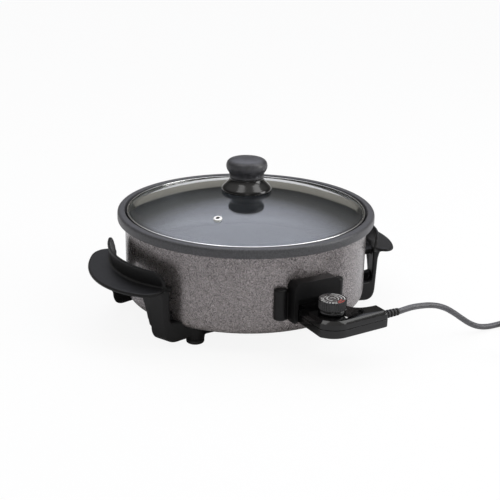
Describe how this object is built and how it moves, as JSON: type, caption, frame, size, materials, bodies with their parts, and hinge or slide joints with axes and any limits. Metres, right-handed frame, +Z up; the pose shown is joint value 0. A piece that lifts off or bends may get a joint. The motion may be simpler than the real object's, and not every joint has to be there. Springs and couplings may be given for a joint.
{
  "type": "electric skillet",
  "caption": "Round double-walled electric skillet with a lift-off domed glass lid, handle mouldings with legs, and a plug-in temperature controller on a coiled cord.",
  "frame": {"origin": "middle of the footprint at the undersides of the foot pads, measured without the cord", "axes": "+Z up, the two handles lie on X, and the controller leaves the pan on -Y"},
  "size_m": [0.5662, 0.5024, 0.2081],
  "materials": {
    "nonstick": "dark grey non-stick coating, satin on the rolled rim",
    "hammertone": "grey hammertone paint with fine light and dark speckles",
    "cast_aluminium": "as cast",
    "zinc_steel": "bright zinc plate",
    "stainless": "polished stainless steel",
    "contact_brass": "plain brass",
    "bakelite": "satin black phenolic",
    "knob_plastic": "polished black phenolic",
    "case_plastic": "high gloss black",
    "lid_glass": "clear tempered glass",
    "silicone": "matt",
    "soft_black": "matt black soft moulding",
    "thermostat_body": "cream ceramic",
    "cord_sheath": "dark grey, softly shining"
  },
  "bodies": {
    "pan": {"pan_vessel": "nonstick", "outer_shell": "hammertone", "heat_plate": "cast_aluminium", "heating_element": "zinc_steel", "element_pin_left": "contact_brass", "element_pin_right": "contact_brass", "probe_guide": "cast_aluminium", "bottom_cover": "zinc_steel", "cover_screw_1": "zinc_steel", "cover_screw_2": "zinc_steel", "cover_screw_3": "zinc_steel", "socket_housing": "bakelite", "housing_screw_left": "zinc_steel", "housing_screw_right": "zinc_steel", "right_handle": "bakelite", "left_handle": "bakelite", "right_front_upper_screw": "zinc_steel", "right_front_lower_screw": "zinc_steel", "right_rear_lower_screw": "zinc_steel", "left_front_upper_screw": "zinc_steel", "left_front_lower_screw": "zinc_steel", "left_rear_lower_screw": "zinc_steel", "right_front_foot_pad": "soft_black", "right_rear_foot_pad": "soft_black", "left_front_foot_pad": "soft_black", "left_rear_foot_pad": "soft_black"},
    "lid": {"lid_glass": "lid_glass", "lid_ring": "stainless", "steam_vent": "stainless", "knob_base": "knob_plastic", "knob_cap": "knob_plastic", "knob_screw": "zinc_steel", "knob_washer": "silicone"},
    "controller": {"controller_upper_case": "case_plastic", "controller_lower_case": "case_plastic", "thermostat_block": "thermostat_body", "probe_rod": "stainless", "contact_left": "contact_brass", "contact_right": "contact_brass", "case_screw_1": "zinc_steel", "case_screw_2": "zinc_steel", "strain_relief": "soft_black", "cord_lead": "cord_sheath", "cord_coil": "cord_sheath", "cord_tie": "soft_black", "mains_plug": "soft_black", "plug_pin_left": "contact_brass", "plug_pin_right": "contact_brass"},
    "dial": {"control_dial": "knob_plastic", "dial_spindle": "zinc_steel"}
  },
  "joints": [
    {"name": "lid_lift", "type": "slide", "parent": "pan", "child": "lid", "axis": [0, 0, 1], "range_m": [0, 0.15]},
    {"name": "controller_pull", "type": "slide", "parent": "pan", "child": "controller", "axis": [0, -1, 0], "range_m": [0, 0.11]},
    {"name": "dial_turn", "type": "hinge", "parent": "controller", "child": "dial", "pos_m": [0, -0.17305, 0.076], "axis": [0, 0, -1], "range_deg": [0, 280]}
  ]
}
